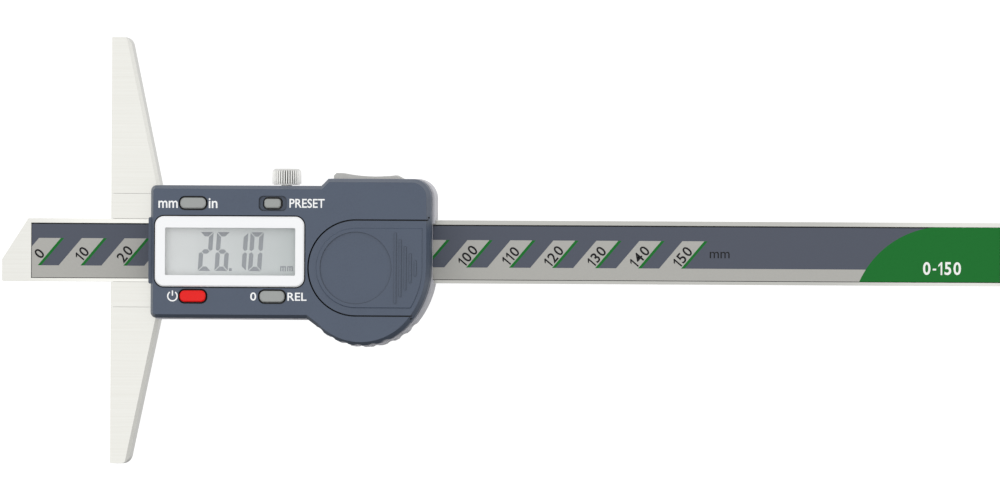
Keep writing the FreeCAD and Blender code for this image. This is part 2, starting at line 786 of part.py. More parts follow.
def build_slider_frame():
    body = new_body("frame_milled")
    head_x = base_back + mm.case_fit
    pad(body, "frame_channel", [frame_outline(head_x, as_size(0))], frame_foot, frame_top)
    head = rectangle(face_x, -head_half, head_x, head_half)
    pad(body, "frame_head", [head], mm.base_web, frame_top)
    corner = mm.rest_corner
    hollow_y = mm.rest_height - mm.rest_fall
    thumb_rest = [
        (rest_far, head_half - overrun),
        (rest_far, hollow_y - mm.rest_tail_fall),
        (rest_far - mm.rest_tail_run, hollow_y),
        (rest_near + corner + mm.rest_flat, mm.rest_height, -mm.rest_saddle_radius),
        (rest_near + corner, mm.rest_height),
        (rest_near, mm.rest_height - corner),
        (rest_near, head_half - overrun),
    ]
    pad(body, "thumb_rest", [thumb_rest], frame_foot, frame_top)
    channel = rectangle(face_x - overrun, -channel_half, frame_end + overrun, channel_half)
    pocket(body, "beam_channel", [channel], channel_floor, frame_top)
    gib_pocket = rectangle(gib_near, channel_half - overrun, gib_far, gib_side)
    pocket(body, "gib_pocket", [gib_pocket], channel_floor, frame_top)
    threads = [(x, y, mm.base_screw_radius) for x, y in base_screw_places()]
    pocket(body, "base_threads", threads, mm.base_web, mm.base_screw_length)
    bore = mm.case_screw_radius + mm.screw_clearance
    bores = [(x, y, bore) for x, y in case_screw_places]
    pocket(body, "case_bores", bores, frame_foot, frame_top)
    thread_bores = [
        rod_along_y("lock_thread", lock_x, beam_axis_z, lock_bore(),
                    gib_side - overrun, head_half + overrun)]
    for number, x in enumerate(gib_screw_places(), start=1):
        thread_bores.append(
            rod_along_y("gib_thread_%d" % number, x, beam_axis_z, mm.grub_radius,
                        gib_side - overrun, head_half + overrun))
    finish(cut("slider_frame_drilled", body, thread_bores), "slider_frame")


def lock_bore():
    return mm.lock_shank_radius + mm.lock_bore_clearance


def gib_screw_places():
    return [gib_near + mm.gib_end_gap + mm.gib_screw_inset, lock_x + mm.gib_screw_setback]


def build_gib():
    strip = new_body("gib_strip")
    gap = mm.gib_end_gap
    side = channel_half
    outline = rectangle(gib_near + gap, side, gib_far - gap, side + mm.gib_thickness)
    low = beam_axis_z - mm.gib_height / 2
    pad(strip, "gib_bar", [outline], low, low + mm.gib_height)
    finish(strip, "gib_strip")
    screws = []
    for number, x in enumerate(gib_screw_places(), start=1):
        name = "gib_screw_%d" % number
        start_y = side + mm.gib_thickness
        blank = rod_along_y(name + "_blank", x, beam_axis_z, mm.grub_radius,
                            start_y, start_y + mm.grub_length)
        slot = block(
            name + "_slot",
            x - mm.grub_radius, x + mm.grub_radius,
            start_y + mm.grub_length - mm.recess_depth * 2, start_y + mm.grub_length,
            beam_axis_z - mm.recess_width / 2, beam_axis_z + mm.recess_width / 2)
        screws.append(cut(name, blank, [slot]))
    group("gib_screws", screws)


def build_rear_cover():
    body = new_body("rear_cover")
    margin = mm.rear_cover_margin
    pad(body, "rear_plate", [frame_outline(base_back + margin, margin)], as_size(0), frame_foot)
    bore = mm.case_screw_radius + mm.screw_clearance
    bores = [(x, y, bore) for x, y in case_screw_places]
    pocket(body, "plate_bores", bores, as_size(0), frame_foot)
    sink = mm.case_screw_head - bore
    dress(body, "Chamfer", "plate_sinks", sink, ring_at(as_size(0), bore))
    finish(body, "rear_cover")


def build_case_screws():
    screws = [
        countersunk_screw(
            "case_screw_%d" % number, x, y, mm.case_screw_radius,
            mm.case_screw_head, mm.case_screw_length, as_size(0))
        for number, (x, y) in enumerate(case_screw_places, start=1)
    ]
    group("case_screws", screws)


# Lock screw: turned head with a straight knurl, neck and threaded shank

def build_lock_screw():
    body = new_body("lock_screw")
    case_side = mm.housing_upper + mm.case_ledge - mm.case_shift_down
    foot = case_side + mm.lock_case_gap
    knurl_foot = foot + mm.lock_neck_length
    head_end = foot + mm.lock_head_length
    tip = gib_side - mm.slide_clearance + mm.lock_tip_gap
    bevel = mm.lock_head_bevel
    profile = [
        (as_size(0), tip),
        (mm.lock_shank_radius, tip),
        (mm.lock_shank_radius, foot),
        (mm.lock_neck_radius, foot),
        (mm.lock_neck_radius, knurl_foot),
        (mm.lock_head_radius, knurl_foot),
        (mm.lock_head_radius, head_end - bevel),
        (mm.lock_head_radius - bevel, head_end),
        (as_size(0), head_end),
    ]
    sketch = sketch_on(body, "lock_turning", [profile], beam_axis_z)
    sketch.setExpression("AttachmentOffset.Base.x", lock_x.formula)
    turned = body.newObject("PartDesign::Revolution", "lock_turning")
    turned.Profile = sketch
    turned.ReferenceAxis = (sketch, ["V_Axis"])
    turned.Angle = 360
    doc.recompute()
    # One groove of the knurl, a triangular notch along the head
    notch = [
        (mm.lock_head_radius + mm.knurl_depth, -mm.knurl_width),
        (mm.lock_head_radius + mm.knurl_depth, mm.knurl_width),
        (mm.lock_head_radius - mm.knurl_depth, as_size(0)),
    ]
    groove_sketch = sketch_on(body, "knurl_groove", [notch], -head_end - overrun, "XZ_Plane")
    groove_sketch.setExpression("AttachmentOffset.Base.x", lock_x.formula)
    groove_sketch.setExpression("AttachmentOffset.Base.y", beam_axis_z.formula)
    groove = body.newObject("PartDesign::Pocket", "knurl_groove")
    groove.Profile = groove_sketch
    groove.setExpression("Length", (head_end + overrun - knurl_foot).formula)
    groove.Reversed = True
    doc.recompute()
    knurl = body.newObject("PartDesign::PolarPattern", "straight_knurl")
    knurl.Originals = [groove]
    knurl.Axis = (sketch, ["V_Axis"])
    knurl.Angle = 360
    knurl.setExpression("Occurrences", mm.knurl_teeth.formula)
    body.Tip = knurl
    doc.recompute()
    finish(body, "lock_screw")


# Housing

def housing_outline(grow, corner, shift_x=0, shift_y=0):
    # Outline of the housing, moved outwards by grow, with its near corners rounded by corner
    near_x = housing_near - grow + shift_x
    far_x = housing_far + grow + shift_x
    upper = mm.housing_upper + grow + shift_y
    lower = -mm.housing_lower - grow + shift_y
    raised = upper + mm.shoulder_rise
    slope = mm.shoulder_rise / mm.shoulder_run
    half_turn = Size(
        math.tan(math.atan(slope.number) / 2), "tan(atan(%s) / 2)" % slope.formula)
    slope_x = shoulder_x - half_turn * grow + shift_x
    far_corner = mm.far_corner + grow
    bulge_inset = mm.bulge_radius + mm.bulge_far_gap
    bulge_x = housing_far - bulge_inset + shift_x
    bulge_y = -mm.bulge_drop + shift_y
    # Radius of the arc that leaves the far edge upright and meets the bulge without a kink
    side_radius = (
        bulge_inset * bulge_inset + mm.side_arc_rise * mm.side_arc_rise
        - mm.bulge_radius * mm.bulge_radius) / (mm.bulge_far_gap * 2)
    side_y = bulge_y + mm.side_arc_rise
    between = side_radius - mm.bulge_radius
    bulge = mm.bulge_radius + grow
    meeting_x = bulge_x + bulge * (side_radius - bulge_inset) / between
    meeting_y = bulge_y - bulge * mm.side_arc_rise / between
    start_fall = (mm.bulge_radius * mm.bulge_radius - mm.bulge_start * mm.bulge_start).root()
    start_x = bulge_x - bulge * mm.bulge_start / mm.bulge_radius
    start_y = bulge_y - bulge * start_fall / mm.bulge_radius
    blend_x = bulge_x - mm.bulge_start - mm.bulge_blend
    return [
        (near_x + corner, lower, corner),
        (blend_x, lower),
        (start_x, start_y),
        (meeting_x, meeting_y, bulge),
        (far_x, side_y, side_radius + grow),
        (far_x, raised - far_corner),
        (far_x - far_corner, raised, far_corner),
        (slope_x + mm.shoulder_run, raised),
        (slope_x, upper),
        (near_x + corner, upper),
        (near_x, upper - corner, corner),
        (near_x, lower + corner),
    ]


def scallops(name, grow, count, low, high, shift_x=0, shift_y=0):
    # Upright rods that cut the finger grips into the rim of the bulge
    bulge_x = housing_far - mm.bulge_radius - mm.bulge_far_gap + shift_x
    reach = mm.bulge_radius + grow + mm.scallop_radius - mm.scallop_depth
    rods = []
    for number in range(int(count.number)):
        angle = "(%s + %d * %s)" % (mm.scallop_first.formula, number, mm.scallop_step.formula)
        turn = math.radians(mm.scallop_first.number + number * mm.scallop_step.number)
        x = bulge_x + reach * Size(math.cos(turn), "cos(%s * 1 deg)" % angle)
        y = -mm.bulge_drop + shift_y + reach * Size(math.sin(turn), "sin(%s * 1 deg)" % angle)
        rods.append(disc("%s_%d" % (name, number + 1), x, y, mm.scallop_radius, low, high))
    return rods


def build_lower_case():
    grow = mm.case_ledge
    shift = (mm.case_shift_far, -mm.case_shift_down)
    shell = extrude(
        "case_shell", housing_outline(grow, mm.housing_corner + grow, *shift),
        mm.case_foot, mm.case_top)
    cavity = extrude(
        "case_cavity", housing_outline(grow - mm.case_wall, mm.cavity_corner, *shift),
        frame_top, mm.case_top + overrun)
    fit = mm.case_fit
    well = extrude(
        "case_frame_well", frame_outline(housing_near - overrun * 2, -fit),
        mm.case_foot - overrun, frame_top)
    bar_space = block(
        "case_base_space", housing_near - overrun * 2, base_back + fit,
        -mm.base_length / 2, mm.base_length / 2,
        mm.case_foot - overrun, frame_top + fit)
    beam_way = block(
        "case_beam_way", frame_end - overrun, housing_far + overrun * 2, -channel_half, channel_half,
        mm.case_foot - overrun, frame_top)
    label_way = block(
        "case_label_way", housing_far - fit, housing_far + overrun * 2,
        -mm.label_notch / 2, mm.label_notch / 2,
        frame_top - overrun, mm.case_top + overrun)
    rest_way = block(
        "case_rest_way", rest_near - fit, rest_far + fit,
        head_half - overrun, mm.rest_height + overrun,
        mm.case_foot - overrun, frame_top + fit)
    lock_way = rod_along_y(
        "case_lock_way", lock_x, beam_axis_z, mm.lock_shank_radius + mm.lock_way_gap,
        head_half - overrun, mm.rest_height)
    gib_ways = [
        rod_along_y("case_gib_way_%d" % number, x, beam_axis_z, mm.grub_radius + fit,
                    head_half - overrun, mm.rest_height)
        for number, x in enumerate(gib_screw_places(), start=1)
    ]
    grips = scallops(
        "case_grip", grow, mm.case_scallops, mm.case_foot - overrun, mm.case_top + overrun, *shift)
    tools = [cavity, well, bar_space, beam_way, label_way, rest_way, lock_way] + gib_ways + grips
    finish(cut("lower_case", shell, tools), "lower_case")


def lid_field(name, grow, low, high):
    # U-shaped field of the lid, round at its near end and open past the far edge
    radius = mm.lid_radius + grow
    return fuse(name, [
        disc(name + "_end", cell_x, cell_y, radius, low, high),
        block(name + "_run", cell_x, housing_far + overrun * 4,
              cell_y - radius, cell_y + radius, low, high),
    ])


def key_list():
    # Label, place, size and corner radius of each key's top
    upper = mm.key_upper
    lower = -mm.key_lower
    return [
        ("unit_key", first_key_x, upper, mm.unit_key_length, mm.unit_key_width, mm.key_corner),
        ("set_key", second_key_x, upper, mm.set_key_length, mm.set_key_width, mm.set_key_corner),
        ("power_key", first_key_x, lower, mm.power_key_length, mm.power_key_width, mm.key_corner),
        ("zero_key", second_key_x, lower, mm.zero_key_length, mm.zero_key_width, mm.key_corner),
    ]


def bevelled_housing():
    # Outer form that the cover and the battery lid share
    blank = extrude(
        "housing_blank", housing_outline(as_size(0), mm.housing_corner), mm.case_top, mm.cover_top)
    return bevel_top(
        "housing_form", blank, mm.cover_top, mm.cover_bevel, mm.cover_bevel_height)


def build_upper_cover(form):
    wall = mm.cover_wall
    cavity = extrude(
        "cover_cavity", housing_outline(-wall, mm.cavity_corner), mm.case_top - overrun, roof)
    shell = cut("cover_shell", form, [cavity])
    inside = extrude(
        "cover_inside", housing_outline(-wall / 2, mm.cavity_corner),
        mm.case_top - overrun, mm.cover_top - wall / 2)
    block_low = lid_shelf_top - mm.lid_shelf
    guides = common("cover_lid_block", [
        lid_field("cover_lid_field", mm.lid_block, block_low, mm.cover_top), inside])
    well_radius = mm.cell_radius + mm.cell_clearance
    well_low = mm.well_floor_top - mm.well_floor
    well = disc("cover_well", cell_x, cell_y, well_radius + mm.well_wall, well_low, lid_shelf_top)
    bosses = []
    half = mm.boss_width / 2
    for number, (x, y) in enumerate(case_screw_places, start=1):
        bosses.append(block(
            "cover_boss_%d" % number, x - half, x + half, y - half, y + half, board_top,
            block_low + mm.lid_shelf / 2 if number == 4 else roof + wall / 2))
    lip_outline = rounded_rectangle(
        housing_near - mm.lip_length, -mm.lip_width / 2,
        housing_near + wall / 2, mm.lip_width / 2, mm.lip_corner)
    lip = extrude("cover_lip", lip_outline, mm.case_top, mm.lip_top)
    moulding = fuse("cover_moulding", [shell, guides, well, lip] + bosses)

    gap = mm.lid_gap
    tools = [lid_field("cover_lid_space", gap, lid_shelf_top, mm.cover_top + overrun)]
    guide_side = mm.lid_radius + mm.guide_width + gap
    tools.append(block(
        "cover_guide_space", cell_x - gap, housing_far + overrun * 4,
        cell_y - guide_side, cell_y + guide_side,
        lid_shelf_top, lid_low + mm.guide_height + gap))
    tools.append(disc(
        "cover_cell_space", cell_x, cell_y, well_radius, mm.well_floor_top, mm.cover_top + overrun))
    for number, (x, y) in enumerate(case_screw_places, start=1):
        tools.append(disc(
            "cover_thread_%d" % number, x, y, mm.case_screw_radius,
            board_top - overrun, mm.case_screw_length + mm.screw_clearance))
    fit = mm.bezel_fit * 2
    tools.append(extrude(
        "cover_bezel_seat",
        centred(bezel_x, mm.bezel_centre, bezel_length + fit, mm.bezel_height + fit,
                mm.bezel_corner + mm.bezel_fit),
        mm.cover_top - mm.bezel_seat, mm.cover_top + overrun))
    collar = (mm.pane_lap + mm.collar_wall) * 2 + fit * 2
    tools.append(extrude(
        "cover_display_opening",
        centred(window_x, mm.bezel_centre, window_length + collar, window_height + collar),
        roof - overrun, mm.cover_top + overrun))
    for label, x, y, length, width, corner in key_list():
        around = mm.key_gap * 2
        tools.append(extrude(
            "cover_%s_opening" % label,
            centred(x, y, length + around, width + around, corner + mm.key_gap),
            roof - overrun, mm.cover_top + overrun))
        if label == "set_key":
            tools.append(extrude(
                "cover_set_recess",
                centred(x, y, mm.set_recess_length, mm.set_recess_width, mm.set_recess_corner),
                mm.cover_top - mm.set_recess_depth, mm.cover_top + overrun))
    tools += scallops(
        "cover_grip", as_size(0), mm.cover_scallops, mm.case_top - overrun, mm.cover_top + overrun)
    tools += contact_ways()
    finish(cut("upper_cover", moulding, tools), "upper_cover")


def build_display():
    middle = mm.bezel_centre
    seat = mm.cover_top - mm.bezel_seat
    top = mm.cover_top + mm.bezel_proud
    pane_low = roof + mm.pane_rise
    pane_top = pane_low + mm.pane_thickness
    lap = mm.pane_lap * 2
    bezel = new_body("display_bezel")
    outer = centred(bezel_x, middle, bezel_length, mm.bezel_height, mm.bezel_corner)
    pad(bezel, "bezel_frame", [outer], seat, top)
    dress(bezel, "Chamfer", "bezel_rim", mm.bezel_bevel, in_plane(top))
    collar = lap + mm.collar_wall * 2
    collar_outline = centred(window_x, middle, window_length + collar, window_height + collar)
    pad(bezel, "bezel_collar", [collar_outline], pane_low, seat)
    opening = centred(window_x, middle, window_length, window_height, mm.window_corner)
    pocket(bezel, "bezel_opening", [opening], pane_low, top)
    fit = mm.bezel_fit
    pane_space = centred(window_x, middle, window_length + lap + fit, window_height + lap + fit)
    pocket(bezel, "pane_space", [pane_space], pane_low, pane_top)
    finish(bezel, "display_bezel")

    pane = new_body("display_window")
    pane_outline = centred(window_x, middle, window_length + lap, window_height + lap)
    pad(pane, "clear_pane", [pane_outline], pane_low, pane_top)
    finish(pane, "display_window")

    lcd = new_body("lcd_panel")
    lcd_length = window_length + mm.lcd_end_lap * 2
    lcd_height = window_height + mm.lcd_side_lap * 2
    lcd_outline = centred(window_x, middle, lcd_length, lcd_height)
    pad(lcd, "lcd_glass", [lcd_outline], pane_low - mm.lcd_thickness, pane_low)
    finish(lcd, "lcd_panel")

    connector = new_body("lcd_connector")
    strip_y = middle - lcd_height / 2 + mm.connector_width
    strip = centred(window_x, strip_y, lcd_length - mm.connector_inset * 2, mm.connector_width)
    pad(connector, "elastomer_strip", [strip], board_top, pane_low - mm.lcd_thickness)
    finish(connector, "lcd_connector")


def build_sensor_board():
    body = new_body("sensor_board")
    margin = mm.sensor_margin
    near_x = housing_near + mm.case_shift_far - mm.case_ledge + mm.case_wall + margin
    pad(body, "circuit_board", [frame_outline(near_x, margin)], frame_top, board_top)
    bore = mm.case_screw_radius + mm.screw_clearance
    bores = [(x, y, bore) for x, y in case_screw_places]
    pocket(body, "board_bores", bores, frame_top, board_top)
    finish(body, "sensor_board")


def build_keys():
    top = mm.cover_top + mm.key_proud
    rim_top = roof - mm.key_play
    rim_low = rim_top - mm.key_flange_height
    dome_top = rim_low - mm.key_travel - mm.dome_gap
    for label, x, y, length, width, corner in key_list():
        body = new_body(label)
        cap = centred(x, y, length, width, corner)
        pad(body, label + "_cap", [cap], rim_low, top)
        dress(body, "Chamfer", label + "_bevel", mm.key_bevel, in_plane(top))
        rim = mm.key_flange * 2 + mm.key_gap * 2
        flange = centred(x, y, length + rim, width + rim)
        pad(body, label + "_rim", [flange], rim_low, rim_top)
        finish(body, label)
    for label, y in (("upper_key_mat", mm.key_upper), ("lower_key_mat", -mm.key_lower)):
        mat = new_body(label)
        outline = rectangle(
            first_key_x - mm.mat_overhang, y - mm.mat_width / 2,
            second_key_x + mm.mat_overhang, y + mm.mat_width / 2)
        mat_top = board_top + mm.mat_thickness
        pad(mat, label + "_sheet", [outline], board_top, mat_top)
        domes = [(x, y, mm.dome_radius) for x in (first_key_x, second_key_x)]
        pad(mat, label + "_domes", domes, mat_top, dome_top)
        finish(mat, label)


# Battery compartment

def contact_ways():
    # Slots in the well's floor and wall that let the contacts reach the board
    low = mm.well_floor_top - mm.well_floor - overrun
    high = mm.well_floor_top + overrun
    gap = mm.screw_clearance
    half = mm.contact_width / 2
    x = cell_x
    plus_y = cell_y + mm.cell_radius + mm.cell_clearance / 2
    return [
        block("cover_minus_way", x - half - gap, x + half + gap,
              cell_y - gap, cell_y + mm.contact_thickness + gap, low, high),
        block("cover_plus_way", x - half - gap, x + half + gap,
              cell_y, plus_y + mm.contact_thickness / 2 + gap, high - overrun, lid_shelf_top),
        block("cover_plus_foot_way", x - half - gap, x + half + gap,
              plus_y - mm.contact_thickness - gap, plus_y + mm.contact_thickness / 2 + gap, low, high),
    ]


def build_battery():
    contact_top = mm.well_floor_top + mm.contact_thickness
    low = contact_top + mm.cell_seat
    rim_top = low + mm.cell_step
    cell = fuse("battery_cell", [
        disc("cell_cap", cell_x, cell_y, mm.cell_rim, low, rim_top),
        disc("cell_can", cell_x, cell_y, mm.cell_radius, rim_top, low + mm.cell_thickness),
    ])
    finish(cell, "battery_cell")

    half = mm.contact_width / 2
    strip = mm.contact_thickness
    minus = fuse("battery_contact_minus", [
        block("minus_blade", cell_x - half, cell_x + half, cell_y, cell_y + strip,
              board_top, contact_top),
        block("minus_tongue", cell_x - half, cell_x + half, cell_y - mm.contact_tongue, cell_y + strip,
              mm.well_floor_top, contact_top),
    ])
    finish(minus, "battery_contact_minus")

    plus_y = cell_y + mm.cell_radius + mm.cell_clearance / 2
    plus = block(
        "battery_contact_plus", cell_x - half, cell_x + half,
        plus_y - strip / 2, plus_y + strip / 2, board_top, low + mm.cell_thickness)
    finish(plus, "battery_contact_plus")


def build_battery_lid(form):
    rail_side = mm.lid_radius + mm.guide_width
    rails = block(
        "lid_rails", cell_x, housing_far + overrun * 4, cell_y - rail_side, cell_y + rail_side,
        lid_low, lid_low + mm.guide_height)
    body = common("lid_body", [
        form,
        fuse("lid_footprint", [lid_field("lid_field", as_size(0), lid_low, mm.cover_top), rails]),
    ])
    inset = mm.plateau_inset
    top = mm.cover_top + mm.plateau_height
    plateau = common("lid_plateau", [
        lid_field("lid_plateau_field", -inset, mm.cover_top - mm.plateau_height, top),
        extrude("lid_plateau_outline", housing_outline(-inset, mm.cavity_corner),
                mm.cover_top - overrun, top + overrun),
    ])
    raised = bevel_top("lid_plateau_bevelled", plateau, top, mm.plateau_bevel, mm.plateau_bevel)
    ribs = []
    for number in range(int(mm.rib_count.number)):
        x = cell_x + mm.rib_start + number * mm.rib_pitch
        half = mm.rib_half_length - number * mm.rib_shortening
        ribs.append(block(
            "lid_rib_%d" % (number + 1), x, x + mm.rib_width, cell_y - half, cell_y + half,
            top - mm.rib_height, top + mm.rib_height))
    dish = disc("lid_dish", cell_x, cell_y, mm.dish_radius, top - mm.dish_depth, top + overrun)
    whole = fuse("lid_whole", [body, raised])
    dished = cut("lid_dished", whole, [dish])
    finish(fuse("battery_lid", [dished] + ribs), "battery_lid")


build_beam()
build_scale_strips()
build_end_stop()
build_depth_base()
build_base_screws()
build_slider_frame()
build_gib()
build_rear_cover()
build_case_screws()
build_lock_screw()
build_sensor_board()
build_lower_case()
housing_form = bevelled_housing()
build_upper_cover(housing_form)
build_display()
build_keys()
build_battery()
build_battery_lid(housing_form)
doc.recompute()

for item in doc.Objects:
    if "Invalid" in item.State or "Error" in item.State:
        raise ValueError("%s did not build" % item.Name)
for feature in finished:
    if feature.Shape.isNull() or not feature.Shape.isValid():
        raise ValueError("%s has no valid shape" % feature.Label)
for feature in finished:
    feature.Shape.exportStep("parts/%s.step" % feature.Label)
    print(feature.Label, len(feature.Shape.Solids), round(feature.Shape.Volume, 2))
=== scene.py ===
import math

import bmesh
import bpy
import numpy as np
from mathutils import Matrix, Vector


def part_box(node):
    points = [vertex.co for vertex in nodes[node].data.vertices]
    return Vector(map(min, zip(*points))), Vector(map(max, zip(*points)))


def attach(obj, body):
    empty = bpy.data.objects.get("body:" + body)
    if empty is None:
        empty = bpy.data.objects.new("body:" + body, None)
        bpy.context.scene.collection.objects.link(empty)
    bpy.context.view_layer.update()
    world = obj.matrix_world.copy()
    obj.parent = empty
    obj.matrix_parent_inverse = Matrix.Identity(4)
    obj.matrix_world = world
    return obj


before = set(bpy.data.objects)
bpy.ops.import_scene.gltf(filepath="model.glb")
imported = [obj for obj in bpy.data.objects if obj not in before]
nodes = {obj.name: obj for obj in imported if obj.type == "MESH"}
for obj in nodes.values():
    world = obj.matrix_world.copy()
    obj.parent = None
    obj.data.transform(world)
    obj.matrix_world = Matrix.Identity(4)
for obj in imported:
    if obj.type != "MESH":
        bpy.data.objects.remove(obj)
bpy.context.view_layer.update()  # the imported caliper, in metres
mm = 0.001
print("frame loaded:", len(nodes), "nodes")


# Small helpers for materials and meshes

def linearColour(code):  # sRGB hex to linear RGBA
    parts = np.array([int(code[i:i + 2], 16) for i in (1, 3, 5)]) / 255
    linear = np.where(parts <= 0.04045, parts / 12.92, ((parts + 0.055) / 1.055) ** 2.4)
    return (*linear.tolist(), 1.0)


def addNode(tree, kind, inputs=None, **settings):  # inputs: socket name or number to a value or a socket
    node = tree.nodes.new(kind)
    for key, value in settings.items():
        setattr(node, key, value)
    for key, value in (inputs or {}).items():
        if isinstance(value, bpy.types.NodeSocket):
            tree.links.new(value, node.inputs[key])
        else:
            node.inputs[key].default_value = value
    return node


def newMaterial(name, roughness, metallic=0.0, **sockets):
    material = bpy.data.materials.new(name)
    material.use_nodes = True
    tree = material.node_tree
    shader = tree.nodes["Principled BSDF"]
    shader.inputs["Roughness"].default_value = roughness
    shader.inputs["Metallic"].default_value = metallic
    for key, value in sockets.items():
        shader.inputs[key.replace("_", " ")].default_value = value
    place = addNode(tree, "ShaderNodeTexCoord").outputs["Object"]
    return material, tree, shader, place


def blend(tree, factor, first, second):  # two colours, or sockets of them, mixed by the factor
    return addNode(tree, "ShaderNodeMix", {0: factor, 6: first, 7: second}, data_type="RGBA").outputs[2]


gapShade = {  # painted shade: the colour turns near black inside a narrow, deep gap, where no light comes back out
    "colour": "#08090b",
    "reach": 3,  # how far across it looks for the other side, in gap widths
    "shut": 0.4,  # openness that is fully dark
    "open": 0.68,  # openness that keeps its own colour
    "samples": 8,
}


def mixColours(tree, shader, factor, codes, gapMm=0.0):  # two hex colours, with painted shade darkening them inside gaps about gapMm wide
    colour = blend(tree, factor, linearColour(codes[0]), linearColour(codes[1]))
    if gapMm:
        openness = addNode(tree, "ShaderNodeAmbientOcclusion", {"Distance": gapShade["reach"] * gapMm * mm},
                           samples=gapShade["samples"]).outputs["AO"]
        shown = addNode(tree, "ShaderNodeMapRange", {
            "Value": openness, "From Min": gapShade["shut"], "From Max": gapShade["open"]}).outputs[0]
        colour = blend(tree, shown, linearColour(gapShade["colour"]), colour)
    tree.links.new(colour, shader.inputs["Base Color"])


def setRelief(tree, shader, height, depthMm, edgeMm):  # fine bump over edges that are softly rounded
    soft = addNode(tree, "ShaderNodeBevel", {"Radius": edgeMm * mm}, samples=4)
    bump = addNode(tree, "ShaderNodeBump",
                   {"Height": height, "Distance": depthMm * mm, "Normal": soft.outputs["Normal"]})
    tree.links.new(bump.outputs["Normal"], shader.inputs["Normal"])


def spread(tree, value, low, high):  # a 0 to 1 value carried to a range
    return addNode(tree, "ShaderNodeMapRange", {"Value": value, "To Min": low, "To Max": high}).outputs[0]


def meshPiece(name, points, faces, material, body):
    mesh = bpy.data.meshes.new(name)
    mesh.from_pydata(np.asarray(points).tolist(), [], faces)
    mesh.validate()
    piece = bpy.data.objects.new(name, mesh)
    bpy.context.scene.collection.objects.link(piece)
    piece.data.materials.append(material)
    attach(piece, body)
    return piece


def prisms(outlines, low, high):  # each outline, K points counter-clockwise, as a flat plate from low to high
    outlines = np.asarray(outlines, float)
    count, corners = outlines.shape[:2]
    level = np.broadcast_to(np.array([low, high])[None, :, None, None], (count, 2, corners, 1))
    points = np.concatenate([np.repeat(outlines[:, None], 2, axis=1), level], axis=3).reshape(-1, 3)
    first = (np.arange(count) * corners * 2)[:, None]
    ring = np.arange(corners)[None]
    after = (ring + 1) % corners
    floors = first + ring[:, ::-1]
    roofs = first + corners + ring
    walls = np.stack([first + ring, first + after, first + corners + after, first + corners + ring], axis=2)
    return points, floors.tolist() + roofs.tolist() + walls.reshape(-1, 4).tolist()


def textPlate(words, width, height, low, high, bold=0.0):  # lettering as flat plates, fitted to width by height
    curve = bpy.data.curves.new("lettering", "FONT")
    curve.body = words
    curve.extrude = 0.1
    curve.offset = bold
    curve.resolution_u = 4
    holder = bpy.data.objects.new("lettering", curve)
    bpy.context.scene.collection.objects.link(holder)
    bpy.context.view_layer.update()
    mesh = bpy.data.meshes.new_from_object(holder.evaluated_get(bpy.context.evaluated_depsgraph_get()))
    bpy.data.objects.remove(holder)
    bpy.data.curves.remove(curve)
    shape = bmesh.new()
    shape.from_mesh(mesh)
    bmesh.ops.remove_doubles(shape, verts=shape.verts, dist=1e-5)
    bmesh.ops.recalc_face_normals(shape, faces=shape.faces)
    shape.to_mesh(mesh)
    shape.free()
    points = np.zeros(len(mesh.vertices) * 3)
    mesh.vertices.foreach_get("co", points)
    points = points.reshape(-1, 3)
    faces = [list(face.vertices) for face in mesh.polygons]
    bpy.data.meshes.remove(mesh)
    least, most = points.min(0), points.max(0)
    points = (points - (least + most) / 2) / (most - least)
    points *= [width or height * (most - least)[0] / (most - least)[1], height, high - low]
    points[:, 2] += (low + high) / 2
    return points, faces


numeralShape = {  # in heights of a digit
    "one": ((0.34, 0), (0.34, 1), (0.24, 1), (0, 0.76), (0, 0.62), (0.2, 0.78), (0.2, 0)),  # with a flag
    "between": 0.19,
    "dashHeight": 0.14,
    "dashLift": 0.42,
}


def numeral(digits, height, low, high, bold=0.0):  # digits in a row, centred on the origin
    one = np.array([numeralShape["one"]]) * height
    parts, right = [], 0.0
    for digit in digits:
        dash = digit == "-"
        tall = height * (numeralShape["dashHeight"] if dash else 1)
        plate, loops = prisms(one, low, high) if digit == "1" else textPlate(digit, None, tall, low, high, bold)
        foot = -numeralShape["dashLift"] * height if dash else plate[:, 1].min()
        plate = plate + [right - plate[:, 0].min(), -foot, 0]
        parts.append((plate, loops))
        right = plate[:, 0].max() + numeralShape["between"] * height
    points, loops = joined(parts)
    middle = (points.min(0) + points.max(0)) / 2
    return points - [middle[0], middle[1], 0], loops


def moved(points, x, y, turn=0.0):  # turned about Z by turn radians, then carried to x, y
    c, s = math.cos(turn), math.sin(turn)
    points = np.array(points)
    points[:, :2] = points[:, :2] @ np.array([[c, s], [-s, c]]) + [x, y]
    return points


def joined(parts):  # several (points, faces) as one
    offset, points, faces = 0, [], []
    for some, loops in parts:
        points.append(some)
        faces += [[i + offset for i in loop] for loop in loops]
        offset += len(some)
    return np.concatenate(points), faces


def paint(material, *names):  # gives CAD nodes this finish
    for name in names:
        nodes[name].data.materials.clear()
        nodes[name].data.materials.append(material)


# Steels: surface ground along the beam's length, so with fine straight lines and a soft, wide sheen

groundSteel = {
    "light": "#dfdfda",
    "dark": "#d7d6d0",
    "lineMm": 0.34,  # grinding marks are finer than this, drawn as coarse as they need to show
    "lineLengthMm": 26.0,
    "roughness": (0.26, 0.4),
    "edgeMm": 0.05,
}
beamGround = {**groundSteel, "light": "#ecece7", "dark": "#e3e2dc"}  # painted reflection: lighter, as the beam mirrors the lamps best
beamSheen = {  # painted reflection, as the share of the lamps that the flat mirrors: at the tip, then each change as from mm, to mm, change
    "start": 0.86,
    "changes": ((-112.0, -92.0, 0.14), (-70.0, -20.0, -0.439), (70.0, 112.0, 0.27)),
}
restStartMm = 13.3  # the thumb rest lies beyond this, across the beam


